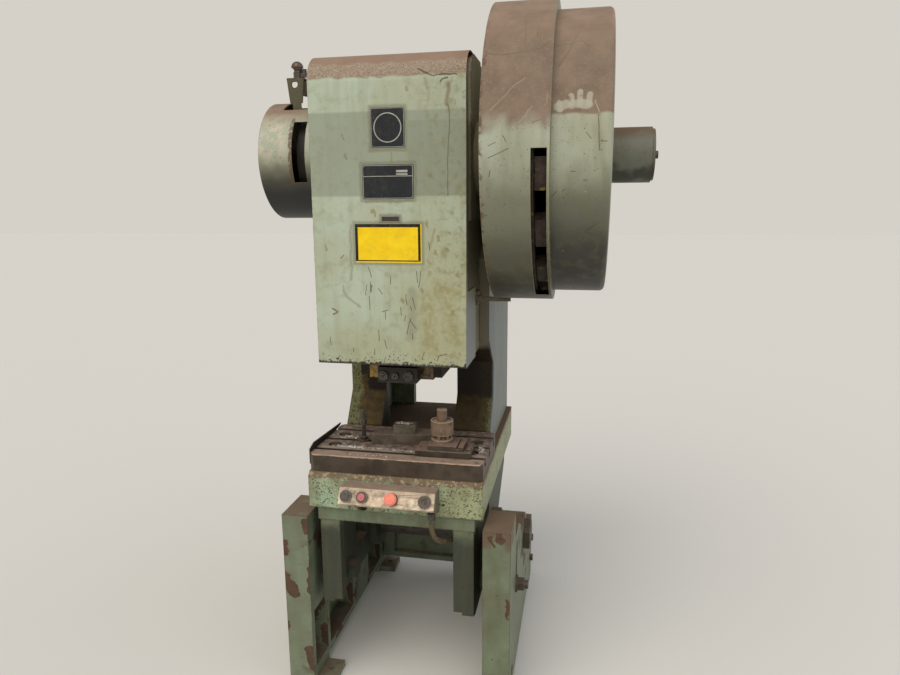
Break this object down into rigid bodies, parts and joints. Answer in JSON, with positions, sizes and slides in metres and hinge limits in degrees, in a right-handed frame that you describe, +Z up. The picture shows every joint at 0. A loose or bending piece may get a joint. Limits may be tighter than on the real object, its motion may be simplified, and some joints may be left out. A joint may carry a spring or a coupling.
{
  "type": "mechanical stamping press",
  "caption": "Open-back inclinable stamping press with side flywheel guards, brake, tilting cast frame, slide, sloped push-button box and a die set on the bolster.",
  "frame": {"origin": "middle of the rectangle of four anchor holes, on the floor plane", "axes": "+Z up, -Y towards the operator (front), +X towards the flywheel guards on the operator's right"},
  "size_m": [1.262, 1.433, 2.321],
  "materials": {
    "green_paint": "aged sage green machine enamel, chipped and dirty",
    "pale_green_paint": "pale sage green sheet-metal enamel, dusty on top",
    "cream_paint": "worn cream paint with bare patches",
    "grey_paint": "grey motor paint, dusty",
    "oily_iron": "dark oily machined iron",
    "greased_iron": "machined iron under yellow grease",
    "rusty_iron": "brown rusted iron",
    "dark_steel": "dark oily steel",
    "bright_steel": "ground steel, lightly oiled",
    "bronze": "bearing bronze",
    "belt_rubber": "black belt rubber",
    "black_plastic": "dusty black plastic",
    "red_plastic": "faded red plastic"
  },
  "bodies": {
    "pedestal": {"pedestal_left": "green_paint", "pedestal_right": "green_paint", "cross_tie": "green_paint", "tie_bolts": "dark_steel", "pivot_shaft": "dark_steel", "pivot_nuts": "dark_steel"},
    "frame": {"frame_casting": "green_paint", "tilt_studs": "dark_steel", "tilt_nuts": "dark_steel", "bolster_plate": "oily_iron", "bolster_bolts": "dark_steel", "head_cover": "pale_green_paint", "bush_left": "bronze", "bush_right": "bronze", "gib_left": "greased_iron", "gib_right": "greased_iron", "gib_bolts": "dark_steel", "brake_guard": "pale_green_paint", "brake_band": "dark_steel", "valve_bracket": "green_paint", "valve_body": "dark_steel", "valve_dome": "bright_steel", "flywheel_guard_inner": "pale_green_paint", "flywheel_guard_outer": "pale_green_paint", "end_cap": "green_paint", "guard_bracket": "dark_steel", "motor_bracket": "green_paint", "motor": "grey_paint", "motor_bolts": "dark_steel", "v_belts": "belt_rubber", "control_box": "cream_paint", "button_collars": "black_plastic", "stop_collar": "black_plastic", "conduit": "black_plastic", "conduit_gland": "black_plastic", "die_base": "oily_iron", "die_drum": "rusty_iron", "tool_block": "oily_iron", "tool_step": "oily_iron", "hold_down_stud": "dark_steel", "side_plate": "rusty_iron"},
    "crank": {"crankshaft": "bright_steel", "brake_drum": "oily_iron", "clutch_hub": "oily_iron"},
    "wheel": {"flywheel": "rusty_iron"},
    "rotor": {"motor_pulley": "oily_iron"},
    "rod": {"connecting_rod": "oily_iron", "rod_cap": "oily_iron", "rod_bolts": "dark_steel", "adjusting_screw": "bright_steel", "screw_locknut": "dark_steel"},
    "ram": {"slide": "greased_iron", "ball_cap": "bronze", "shank_clamp": "oily_iron", "clamp_nuts": "bright_steel", "set_screw": "bright_steel"},
    "button_a": {"start_button": "black_plastic"},
    "button_b": {"small_button": "red_plastic"},
    "button_c": {"stop_button": "red_plastic"},
    "button_d": {"end_button": "black_plastic"}
  },
  "joints": [
    {"name": "frame_tilt", "type": "hinge", "parent": "pedestal", "child": "frame", "pos_m": [0, 0.06, 0.4], "axis": [-1, 0, 0], "range_deg": [0, 25]},
    {"name": "crank_turn", "type": "hinge", "parent": "frame", "child": "crank", "pos_m": [0, -0.22, 1.863], "axis": [1, 0, 0], "range_deg": [0, 180]},
    {"name": "slide_travel", "type": "slide", "parent": "frame", "child": "ram", "axis": [0, 0, -1], "range_m": [0, 0.04]},
    {"name": "rod_swing", "type": "hinge", "parent": "crank", "child": "rod", "pos_m": [0, -0.22, 1.883], "axis": [1, 0, 0], "range_deg": [-180, 0]},
    {"name": "flywheel_spin", "type": "hinge", "parent": "frame", "child": "wheel", "pos_m": [0, -0.22, 1.863], "axis": [1, 0, 0], "continuous": true},
    {"name": "motor_spin", "type": "hinge", "parent": "frame", "child": "rotor", "pos_m": [0, 0.625, 1.583], "axis": [1, 0, 0], "continuous": true},
    {"name": "press_start", "type": "slide", "parent": "frame", "child": "button_a", "axis": [0, 0.8873, -0.4612], "range_m": [0, 0.004], "stiffness_N_per_m": 400},
    {"name": "press_small", "type": "slide", "parent": "frame", "child": "button_b", "axis": [0, 0.8873, -0.4612], "range_m": [0, 0.004], "stiffness_N_per_m": 400},
    {"name": "press_stop", "type": "slide", "parent": "frame", "child": "button_c", "axis": [0, 0.8873, -0.4612], "range_m": [0, 0.004], "stiffness_N_per_m": 400},
    {"name": "press_end", "type": "slide", "parent": "frame", "child": "button_d", "axis": [0, 0.8873, -0.4612], "range_m": [0, 0.004], "stiffness_N_per_m": 400}
  ],
  "couplings": [
    {"joint": "slide_travel", "follows": "crank_turn", "m_per_rad": 0.012732},
    {"joint": "rod_swing", "follows": "crank_turn", "ratio": -1},
    {"joint": "motor_spin", "follows": "flywheel_spin", "ratio": 7.174}
  ]
}
